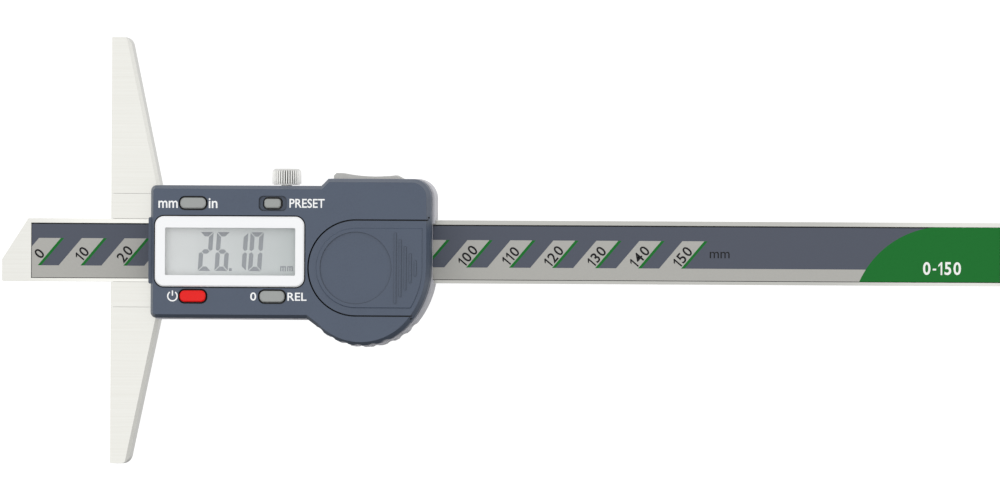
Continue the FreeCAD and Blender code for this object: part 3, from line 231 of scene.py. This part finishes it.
def makeSteel(name, light, dark, lineMm, lineLengthMm, roughness, edgeMm, gapMm=0.0, markDepthMm=0.0015):
    material, tree, shader, place = newMaterial(name, roughness[0], metallic=1.0)
    across = 1 / (lineMm * mm)
    stretched = addNode(tree, "ShaderNodeMapping",
                        {"Vector": place, "Scale": (1 / (lineLengthMm * mm), across, across)}).outputs[0]
    lines = addNode(tree, "ShaderNodeTexNoise", {"Vector": stretched, "Scale": 1.0, "Detail": 3.0}).outputs["Fac"]
    mixColours(tree, shader, spread(tree, lines, -0.2, 1.2), (dark, light), gapMm)
    tree.links.new(spread(tree, lines, *roughness), shader.inputs["Roughness"])
    setRelief(tree, shader, lines, markDepthMm, edgeMm)
    return material


def paintSheenAlong(material, start, changes):  # painted reflection: the base colour dims and brightens along the flat, as the lamps' reflection leaves it and comes back
    tree = material.node_tree
    shader = tree.nodes["Principled BSDF"]
    colour = shader.inputs["Base Color"].links[0].from_socket
    place = addNode(tree, "ShaderNodeTexCoord").outputs["Object"]
    along = addNode(tree, "ShaderNodeSeparateXYZ", {"Vector": place}).outputs["X"]
    shown = start
    for low, high, step in changes:
        part = addNode(tree, "ShaderNodeMapRange",
                       {"Value": along, "From Min": low * mm, "From Max": high * mm, "To Max": step},
                       interpolation_type="SMOOTHSTEP").outputs[0]
        shown = addNode(tree, "ShaderNodeMath", {0: shown, 1: part}, operation="ADD").outputs[0]
    tree.links.new(blend(tree, shown, (0.0, 0.0, 0.0, 1.0), colour), shader.inputs["Base Color"])


steel = makeSteel("ground_tool_steel", **groundSteel)  # pale flats with faint lines along the beam
beamSteel = makeSteel("ground_beam_steel", **beamGround)  # the same, with a painted reflection fading from white to grey and back
paintSheenAlong(beamSteel, **beamSheen)
turnedSteel = makeSteel(  # bright crests, with painted shade darkening the grooves, on knurling and screw heads
    "turned_nickel_plated_steel", light="#f2f2ef", dark="#e2e2df", lineMm=0.5, lineLengthMm=0.5,
    roughness=(0.3, 0.4), edgeMm=0.03, gapMm=0.1)
plateSteel = makeSteel(  # brushed stripes on the rear cover
    "brushed_stainless_sheet", light="#d8d8d8", dark="#b4b4b4", lineMm=0.25, lineLengthMm=12.0,
    roughness=(0.3, 0.45), edgeMm=0.1)
restSteel = makeSteel(  # an even, matt grey under the thumb
    "glass_bead_blasted_steel", light="#c4c4c1", dark="#b4b4b1", lineMm=0.3, lineLengthMm=0.3,
    roughness=(0.5, 0.6), edgeMm=0.05)
brass = makeSteel(  # warm yellow inside the housing
    "drawn_brass_strip", light="#d8b56a", dark="#b8954c", lineMm=0.2, lineLengthMm=15.0,
    roughness=(0.3, 0.4), edgeMm=0.05)
paint(steel, "depth_base", "slider_frame", "end_stop")
paint(beamSteel, "beam")
paint(turnedSteel, "lock_screw", "base_screws", "gib_screws", "case_screws", "end_stop_screws", "battery_cell")
paint(plateSteel, "rear_cover")
paint(brass, "gib_strip", "battery_contact_minus", "battery_contact_plus")
frameMesh = nodes["slider_frame"].data
frameMesh.materials.append(restSteel)
for face in frameMesh.polygons:
    face.material_index = int(face.center.y > restStartMm * mm)  # the blasted thumb rest
print("steel done")


# Plastics: injection moulded ABS from a spark eroded tool, a fine even grain that breaks the gloss

def makePlastic(name, light, dark, grainMm, depthMm, roughness, edgeMm=0.15, gapMm=0.0, patchMm=9.0,
                **sockets):  # patchMm: the slow change of tone across a moulding
    material, tree, shader, place = newMaterial(name, roughness, **sockets)
    grain = addNode(tree, "ShaderNodeTexNoise",
                    {"Vector": place, "Scale": 1 / (grainMm * mm), "Detail": 2.0}).outputs["Fac"]
    patches = addNode(tree, "ShaderNodeTexNoise",
                      {"Vector": place, "Scale": 1 / (patchMm * mm), "Detail": 3.0}).outputs["Fac"]
    both = addNode(tree, "ShaderNodeMath", {0: grain, 1: patches}, operation="ADD").outputs[0]
    mixColours(tree, shader, spread(tree, both, -0.5, 0.5), (dark, light), gapMm)
    setRelief(tree, shader, grain, depthMm, edgeMm)
    return material


slate = makePlastic(  # dark blue-grey that takes a broad, dull shine, with painted shade making it black in its gaps
    "slate_moulded_abs", light="#485466", dark="#404a5c", grainMm=0.35, depthMm=0.01, roughness=0.42,
    edgeMm=0.1, gapMm=0.25)
caseGrey = makePlastic(  # pale, slightly violet grey
    "grey_moulded_abs", light="#c6c6cc", dark="#b8b8be", grainMm=0.35, depthMm=0.01, roughness=0.45)
bezelWhite = makePlastic(  # clean satin white round the display, with painted shade in its gaps
    "white_moulded_acrylic", light="#f0f1f2", dark="#ecedef", grainMm=0.5, depthMm=0.003, roughness=0.25,
    edgeMm=0.12, gapMm=0.4)
keyGrey = makePlastic(  # satin grey caps inside a ring that painted shade turns black
    "grey_moulded_key", light="#9da09e", dark="#8f9290", grainMm=0.25, depthMm=0.015, roughness=0.3,
    edgeMm=0.08, gapMm=0.4)
keyRed = makePlastic(  # signal red that the lamps hardly wash out, with painted shade in its gaps
    "red_moulded_key", light="#e7130f", dark="#da0d0a", grainMm=0.25, depthMm=0.015, roughness=0.3,
    edgeMm=0.08, gapMm=0.4, Specular_IOR_Level=0.25)
rubber = makePlastic(  # dull grey floor of the rings round the keys, with painted shade making it black deep in the gaps
    "moulded_silicone_mat", light="#58585c", dark="#4c4c50", grainMm=0.3, depthMm=0.006, roughness=0.6, gapMm=0.6)
elastomer = makePlastic(  # dull brick red strip behind the display
    "layered_silicone_strip", light="#a2483c", dark="#86382e", grainMm=0.2, depthMm=0.006, roughness=0.6)
board = makePlastic(  # deep green lacquer
    "solder_mask_on_glass_epoxy", light="#14512a", dark="#0e4322", grainMm=0.4, depthMm=0.01, roughness=0.35)
scaleBoard = makePlastic(  # paler green under the printed strip
    "etched_glass_epoxy", light="#2a5a32", dark="#204a28", grainMm=0.4, depthMm=0.01, roughness=0.4)
paint(slate, "upper_cover", "battery_lid")
paint(caseGrey, "lower_case")
paint(bezelWhite, "display_bezel")
paint(keyGrey, "unit_key", "set_key", "zero_key")
paint(keyRed, "power_key")
paint(rubber, "upper_key_mat", "lower_key_mat")
paint(elastomer, "lcd_connector")
paint(board, "sensor_board")
paint(scaleBoard, "scale_board")
print("plastics done")


# Display: polariser over liquid crystal glass, with painted light as if lit a little from the near upper corner,
# and a painted glow

display = {
    # light and dark are painted light: lighter at the panel's -X end, darker at its +X end
    "light": "#a9abab",
    "dark": "#939898",
    "paintedGlow": 0.6,  # painted glow: the glass gives off light that evens out the frame's shade, though it is no lamp
    "ink": "#8b8f94",
    "height": 9.0,  # of a digit
    "width": 3.1,
    "stroke": 1.02,
    "gap": 0.13,  # between segments
    "lean": math.radians(3.8),
    "left": -7.72,  # first digit from the panel's middle
    "foot": -4.5,
    "steps": (0.0, 3.89, 8.1, 11.71),  # left of each digit from the first
    "point": (7.3, 0.66),  # decimal point from the first digit, and its side
    "unit": (11.5, -4.5, 1.35, 1.2, 0.3),  # unit sign from the middle: left, foot, letter width, height, stroke
    "lit": ("abged", "afgedc", "bc", "abcdef"),  # lit segments of each digit
    "plate": 0.02,  # thickness of a segment
}

glass, glassTree, glassShader, glassPlace = newMaterial("polariser_over_glass", 0.3)
glassShader.inputs["Emission Strength"].default_value = display["paintedGlow"]
axes = addNode(glassTree, "ShaderNodeSeparateXYZ", {"Vector": glassPlace})
low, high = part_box("lcd_panel")
paintedLightAcrossGlass = addNode(glassTree, "ShaderNodeMapRange",
                      {"Value": axes.outputs["X"], "From Min": low.x, "From Max": high.x}).outputs[0]
mixColours(glassTree, glassShader, paintedLightAcrossGlass, (display["light"], display["dark"]))
# painted glow in the glass's own painted-light colours
glassTree.links.new(glassShader.inputs["Base Color"].links[0].from_socket, glassShader.inputs["Emission Color"])
paint(glass, "lcd_panel")

pane = makePlastic(  # clear, with a clean gloss
    "clear_cast_acrylic", light="#f4f6f6", dark="#eef2f2", grainMm=0.5, depthMm=0.0005, roughness=0.08, Alpha=0.06)
paint(pane, "display_window")


def printInk(name, code, roughness=0.5, grainMm=0.3, darkest=0.9, toothMm=0.002, **sockets):  # even, faint tooth
    material, tree, shader, place = newMaterial(name, roughness, **sockets)
    tooth = addNode(tree, "ShaderNodeTexNoise",
                    {"Vector": place, "Scale": 1 / (grainMm * mm), "Detail": 2.0}).outputs["Fac"]
    base = np.array(linearColour(code))
    darker = (*(base[:3] * darkest).tolist(), 1.0)
    tree.links.new(blend(tree, tooth, darker, tuple(base)), shader.inputs["Base Color"])
    bump = addNode(tree, "ShaderNodeBump", {"Height": tooth, "Distance": toothMm * mm})
    tree.links.new(bump.outputs["Normal"], shader.inputs["Normal"])
    return material


def segments():  # the seven bars of a digit, mitred to each other, as loops of six points
    w, h, s, g = (display[key] for key in ("width", "height", "stroke", "gap"))
    middle = h / 2
    top = np.array([(g, h), (g + s / 2, h - s / 2), (g + s, h - s), (w - g - s, h - s), (w - g - s / 2, h - s / 2),
                    (w - g, h)])
    side = np.array([(0, h - g), (0, middle + g + s * 0.3), (s / 2, middle + g), (s, middle + g + s / 2),
                     (s, h - g - s), (s / 2, h - g - s / 2)])
    cross = np.array([(g + s / 2, middle), (g + s, middle - s / 2), (w - g - s, middle - s / 2),
                      (w - g - s / 2, middle), (w - g - s, middle + s / 2), (g + s, middle + s / 2)])
    across, down = np.array([[-1, 1], [w, 0]]), np.array([[1, -1], [0, h]])  # mirror as a factor and a shift
    return {
        "a": top, "f": side, "g": cross, "c": side * -1 + [w, h],
        "d": (top * down[0] + down[1])[::-1], "e": (side * down[0] + down[1])[::-1],
        "b": (side * across[0] + across[1])[::-1],
    }


displayInk = printInk("liquid_crystal_segments", display["ink"], 0.35)
low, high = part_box("lcd_panel")
middleX, middleY, displayLevel = (low.x + high.x) / 2 / mm, (low.y + high.y) / 2 / mm, high.z / mm
bars = segments()
digits = []
for left, lit in zip(display["steps"], display["lit"]):
    digits += [bars[name] + [left, 0] for name in lit]
digits = np.array(digits)
digits[..., 0] += digits[..., 1] * math.tan(display["lean"])


def bar(x, y, length, height):  # upright rectangle from its lower left corner
    return np.array([[x, y], [x + length, y], [x + length, y + height], [x, y + height]])


left, foot, wide, high, thick = display["unit"]
letters = []
for start in (left, left + wide * 1.2):
    letters += [bar(start + shift * (wide - thick), foot, thick, high - thick) for shift in (0, 0.5, 1)]
    letters.append(bar(start, foot + high - thick, wide, thick))
pointLeft, pointSide = display["point"]
letters.append(bar(display["left"] + pointLeft, display["foot"], pointSide, pointSide))
levels = (displayLevel, displayLevel + display["plate"])
points, faces = joined([prisms(digits + [display["left"], display["foot"]], *levels), prisms(letters, *levels)])
meshPiece("display_segments", moved(points, middleX, middleY) * mm, faces, displayInk, "slider")
print("display done")


# Printed scale strip: polyester film, satin, with its fields printed one above another

label = {
    "dark": "#424857",
    "light": "#aaa9a4",
    "green": "#1a6e2c",
    "black": "#0d0e11",
    "white": "#eef0ec",
    "plate": 0.008,  # thickness of a printed field
    "fieldTop": 3.5,  # below the strip's upper edge
    "fieldFoot": 9.85,
    "lean": 0.846,  # sideways for each millimetre down
    "fieldLeft": -107.97,  # left side of field 0 at leftAt below the upper edge
    "leftAt": 3.96,
    "fieldWidth": 5.08,
    "division": 10.0,
    "divisions": 16,
    "slash": 0.8,
    # width of the black line of painted shadow along the strip's upper edge
    "edgeShadowLine": 0.25,
    "footLine": 0.1,
    "roughness": 0.45,
    "gloss": {"light": 0.5, "green": 0.1, "black": 0.2, "white": 0.5},
    "numberBold": 0.015,
    "rangeBold": 0.02,
    "arcPoints": 33,
    "numberHeight": 2.5,
    "numberTurn": math.radians(49.8),
    "numberX": -107.5,
    "numberY": -0.88,
    "unit": (51.1, -0.4, 4.6, 1.5),
    "arcCentre": (103.2, -15.1),
    "arcRadius": 21.5,
    "range": (102.7, -3.26, 8.8, 3.0),
}

paint(printInk("printed_film_slate", label["dark"], label["roughness"]), "scale_label")  # satin slate ground
inks = {tone: printInk("printed_film_" + tone, label[tone], label["roughness"], Specular_IOR_Level=gloss)
        for tone, gloss in label["gloss"].items()}  # flat fields of colour, the green and the black without shine
low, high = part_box("scale_label")
stripLeft, stripRight, stripFoot, stripTop, stripLevel = (v / mm for v in (low.x, high.x, low.y, high.y, high.z))


def labelPiece(name, shape, tone):
    meshPiece(name, shape[0] * mm, shape[1], inks[tone], "beam")


def leaning(offset, depth):  # x of a line that leans with the fields, at this depth below the upper edge
    return label["fieldLeft"] + offset - label["lean"] * (depth - label["leftAt"])


steps = np.arange(label["divisions"]) * label["division"]
fieldLevel = stripLevel + label["plate"]
top, foot, wide = label["fieldTop"], label["fieldFoot"], label["fieldWidth"]
corners = np.array([
    [leaning(0, foot), stripTop - foot], [leaning(wide, foot), stripTop - foot],
    [leaning(wide, top), stripTop - top], [leaning(0, top), stripTop - top],
])
shifts = np.stack([steps, steps * 0], axis=1)[:, None]
fields = corners + shifts
cutDepth = label["leftAt"] + (label["fieldLeft"] - stripLeft) / label["lean"]  # where the strip's end cuts field 0
first = np.array([[
    [stripLeft, stripTop - foot], fields[0, 1], fields[0, 2], fields[0, 3], [stripLeft, stripTop - cutDepth]]])
band = np.array([[
    [stripLeft, stripFoot], [stripRight, stripFoot], [stripRight, stripTop - foot], [stripLeft, stripTop - foot]]])
labelPiece("label_light_fields", joined([
    prisms(fields[1:], stripLevel, fieldLevel), prisms(first, stripLevel, fieldLevel),
    prisms(band, stripLevel, fieldLevel)]), "light")

slashes = corners + shifts
slashes[:, [0, 3], 0] += wide
slashes[:, [1, 2], 0] += label["slash"]
labelPiece("label_green_slashes", prisms(slashes, stripLevel, fieldLevel), "green")

# painted shadow: a thin black line along the strip's upper edge, for the shade at that edge
line = np.array([[
    [stripLeft, stripTop - label["edgeShadowLine"]], [stripRight, stripTop - label["edgeShadowLine"]],
    [stripRight, stripTop], [stripLeft, stripTop]]])
thin, below = label["footLine"], label["plate"]
footLine = np.array([
    [[x, y], [x + across, y], [x + across, y + high], [x, y + high]] for x, y, across, high in (
        (stripLeft, stripFoot - below, stripRight - stripLeft, thin + below),
        (stripLeft - below, stripFoot + thin, thin, stripTop - stripFoot - thin - below),
        (stripRight - thin, stripFoot + thin, thin + below, stripTop - stripFoot - thin - below))])
labelPiece("label_edge_shadow_line", prisms(line, stripLevel, fieldLevel), "black")
labelPiece("label_foot_line", prisms(footLine, fieldLevel, fieldLevel + label["plate"]), "black")

numberLevel = (fieldLevel, fieldLevel + label["plate"])
numbers = []
for step in steps:
    plate, loops = numeral("%d" % step, label["numberHeight"], *numberLevel, label["numberBold"])
    numbers.append((moved(plate, label["numberX"] + step, label["numberY"], label["numberTurn"]), loops))
x, y, width, height = label["unit"]
plate, loops = textPlate("mm", width, height, *numberLevel)
numbers.append((moved(plate, x, y), loops))
labelPiece("label_numbers", joined(numbers), "black")

centre, radius = np.array(label["arcCentre"]), label["arcRadius"]
start = math.asin((stripFoot - centre[1]) / radius)
end = math.asin((stripTop - centre[1]) / radius)
turn = np.linspace(end, start, label["arcPoints"])  # the field's curved side, from its top to its foot
arc = centre + radius * np.stack([-np.cos(turn), np.sin(turn)], axis=1)
greenField = np.concatenate([arc, [[stripRight, stripFoot], [stripRight, stripTop]]])[None]
labelPiece("label_green_field", prisms(greenField, fieldLevel, fieldLevel + label["plate"]), "green")
x, y, width, height = label["range"]
rangeLevel = (fieldLevel + label["plate"], fieldLevel + 2 * label["plate"])
plate, loops = numeral("0-150", height, *rangeLevel, label["rangeBold"])
plate = plate * [width / np.ptp(plate[:, 0]), 1, 1]
labelPiece("label_range", (moved(plate, x, y), loops), "white")
print("label done")


# White lettering beside the keys, printed on the cover

lettering = {
    "white": "#f6f7f7",
    "plate": 0.015,
    "rim": 0.7,  # a key's hidden rim, beyond its cap
    "bold": 0.012,
    "words": (  # word, key, side of it (-1 left, 1 right), gap from its cap, width, height, lift
        ("mm", "unit_key", -1, 0.63, 4.5, 1.67, -0.31),
        ("in", "unit_key", 1, 0.63, 2.05, 2.3, 0.0),
        ("PRESET", "set_key", 1, 2.02, 8.2, 2.1, 0.06),
        ("0", "zero_key", -1, 0.83, 1.4, 1.9, 0.0),
        ("REL", "zero_key", 1, 0.67, 4.47, 1.88, 0.0),
    ),
}

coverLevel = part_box("upper_cover")[1].z / mm
letterLevels = (coverLevel, coverLevel + lettering["plate"])
white = printInk("pad_printed_white", lettering["white"])  # crisp, dense white


def word(words, key, side, gap, width, height, lift):
    low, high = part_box(key)
    x = (high.x if side > 0 else low.x) / mm + side * (gap - lettering["rim"] + width / 2)
    y = (low.y + high.y) / 2 / mm + lift
    plate, loops = textPlate(words, width, height, *letterLevels, lettering["bold"])
    return moved(plate, x, y), loops


points, faces = joined([word(*row) for row in lettering["words"]])
meshPiece("cover_words", points * mm, faces, white, "slider")

powerSign = {
    "radius": 1.1,
    "stroke": 0.3,
    "open": math.radians(34),  # half of the ring's opening
    "barFoot": 0.1,
    "bar": 1.2,
    "gap": 1.73,  # from the key's cap to the ring's middle
    "points": 41,
}
low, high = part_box("power_key")
turn = np.linspace(math.pi / 2 + powerSign["open"], math.pi * 2.5 - powerSign["open"], powerSign["points"])
ring = np.stack([np.cos(turn), np.sin(turn)], axis=1)
inner, outer = (powerSign["radius"] + side * powerSign["stroke"] / 2 for side in (-1, 1))
quads = np.stack([ring[:-1] * outer, ring[1:] * outer, ring[1:] * inner, ring[:-1] * inner], axis=1)
stem = bar(-powerSign["stroke"] / 2, powerSign["barFoot"], powerSign["stroke"], powerSign["bar"])[None]
points, faces = joined([prisms(quads, *letterLevels), prisms(stem, *letterLevels)])
signPlace = (low.x / mm + lettering["rim"] - powerSign["gap"], (low.y + high.y) / 2 / mm)
meshPiece("power_sign", moved(points, *signPlace) * mm, faces, white, "slider")
print("lettering done")


# Stage: pale floor, bright dome that dims towards the near side, and a camera almost straight above

studio = {
    "floor": "#8c8c8c",
    "floorHalf": 4.0,
    "floorCells": 8,
    "floorGlow": 0.9,  # lifts the floor to the clean white of a cut-out shot
    "zenith": 1.23,
    "horizon": 0.74,
    "climb": (0.05, 0.8),  # heights between which the horizon's light becomes the zenith's
    "below": 0.85,
    "edge": 0.02,  # half of the soft step at the horizon
    "ends": 1.4,  # the horizon is this much brighter beyond the beam's two ends
    "endsFrom": (0.6, 0.95),
    "nearSide": 0.14,  # share of light kept low on the -Y side
    "overhead": 0.5,  # how far height counts against the dark side
    "sideFrom": (-0.6, 0.1),
    "keyPower": 0.9,
    "keyPlace": (-0.75, 0.6, 0.75),
    "keySizes": (0.5, 0.5),
    "tiltDeg": 5.75,  # the camera leans towards the beam's free end, 6.3 degrees as seen from the housing
    "rollDeg": 0.3,
    "pixelsPerMm": 4.295,  # along the beam
    "imageWidth": 1000,
    "lens": 720.0,  # long, because the photo's ends show no perspective
    "levelMm": 6.1,  # the printed strip, where the scale is measured
    "targetMm": (0.0, 0.495),
}

half, cells = studio["floorHalf"], studio["floorCells"]
ticks = np.linspace(-half, half, cells + 1)
grid = np.stack([*np.meshgrid(ticks, ticks, indexing="ij"), np.zeros((cells + 1, cells + 1))], axis=2)
cell = (np.arange(cells)[:, None] * (cells + 1) + np.arange(cells)[None]).reshape(-1, 1)
floorMesh = bpy.data.meshes.new("floor")
floorMesh.from_pydata(grid.reshape(-1, 3).tolist(), [], (cell + np.array([0, cells + 1, cells + 2, 1])).tolist())
floor = bpy.data.objects.new("floor", floorMesh)
bpy.context.scene.collection.objects.link(floor)
floorMaterial, floorTree, floorShader, floorPlace = newMaterial("matt_white_table", 0.9)  # clean, shadowless white
floorShader.inputs["Base Color"].default_value = linearColour(studio["floor"])
floorShader.inputs["Specular IOR Level"].default_value = 0.0
floorShader.inputs["Emission Color"].default_value = (1.0, 1.0, 1.0, 1.0)
floorShader.inputs["Emission Strength"].default_value = studio["floorGlow"]
floorMesh.materials.append(floorMaterial)
floor.visible_diffuse = floor.visible_glossy = False  # keeps the sides' shade as on a cut-out product shot

world = bpy.data.worlds.new("softDome")
bpy.context.scene.world = world
world.use_nodes = True
sky = world.node_tree
direction = addNode(sky, "ShaderNodeSeparateXYZ",
                    {"Vector": addNode(sky, "ShaderNodeTexCoord").outputs["Generated"]})
rise = addNode(sky, "ShaderNodeMapRange", {
    "Value": direction.outputs["Z"], "From Min": studio["climb"][0], "From Max": studio["climb"][1],
    "To Min": studio["horizon"], "To Max": studio["zenith"]}, interpolation_type="SMOOTHSTEP")
under = addNode(sky, "ShaderNodeMapRange", {
    "Value": direction.outputs["Z"], "From Min": -studio["edge"], "From Max": studio["edge"],
    "To Min": studio["below"], "To Max": rise.outputs[0]})
lifted = addNode(sky, "ShaderNodeMapRange", {"Value": direction.outputs["Z"], "To Max": studio["overhead"]})
farther = addNode(sky, "ShaderNodeMath", {0: direction.outputs["Y"], 1: lifted.outputs[0]}, operation="ADD")
side = addNode(sky, "ShaderNodeMapRange", {
    "Value": farther.outputs[0], "From Min": studio["sideFrom"][0], "From Max": studio["sideFrom"][1],
    "To Min": studio["nearSide"], "To Max": 1.0}, interpolation_type="SMOOTHSTEP")
outwards = addNode(sky, "ShaderNodeMath", {0: direction.outputs["X"]}, operation="ABSOLUTE")
ends = addNode(sky, "ShaderNodeMapRange", {
    "Value": outwards.outputs[0], "From Min": studio["endsFrom"][0], "From Max": studio["endsFrom"][1],
    "To Min": 1.0, "To Max": studio["ends"]}, interpolation_type="SMOOTHSTEP")
around = addNode(sky, "ShaderNodeMath", {0: side.outputs[0], 1: ends.outputs[0]}, operation="MULTIPLY")
strength = addNode(sky, "ShaderNodeMath", {0: under.outputs[0], 1: around.outputs[0]}, operation="MULTIPLY")
sky.links.new(strength.outputs[0], sky.nodes["Background"].inputs["Strength"])
sky.nodes["Background"].inputs["Color"].default_value = (1.0, 1.0, 1.0, 1.0)


def softbox(name, place, sizes, power):  # a soft rectangular lamp that faces the origin
    lamp = bpy.data.lights.new(name, "AREA")
    lamp.shape = "RECTANGLE"
    lamp.size, lamp.size_y = sizes
    lamp.energy = power
    box = bpy.data.objects.new(name, lamp)
    box.location = place
    box.rotation_euler = Vector(place).to_track_quat("Z", "Y").to_euler()
    box.visible_camera = False
    bpy.context.scene.collection.objects.link(box)


softbox("key_softbox", studio["keyPlace"], studio["keySizes"], studio["keyPower"])

scene = bpy.context.scene
scene.view_settings.view_transform = "Standard"
tilt, roll = math.radians(studio["tiltDeg"]), math.radians(studio["rollDeg"])
frameWidth = studio["imageWidth"] / (studio["pixelsPerMm"] / math.cos(tilt)) * mm
camera = bpy.data.objects.new("camera", bpy.data.cameras.new("camera"))
camera.data.lens = studio["lens"]
distance = camera.data.lens * frameWidth / camera.data.sensor_width
target = np.array([*studio["targetMm"], studio["levelMm"]]) * mm
camera.location = (target + distance * np.array([math.sin(tilt), 0, math.cos(tilt)])).tolist()
camera.rotation_euler = (Matrix.Rotation(tilt, 3, "Y") @ Matrix.Rotation(roll, 3, "Z")).to_euler()
camera.data.clip_start, camera.data.clip_end = distance / 10, distance * 4
scene.collection.objects.link(camera)
scene.camera = camera
print("stage done")
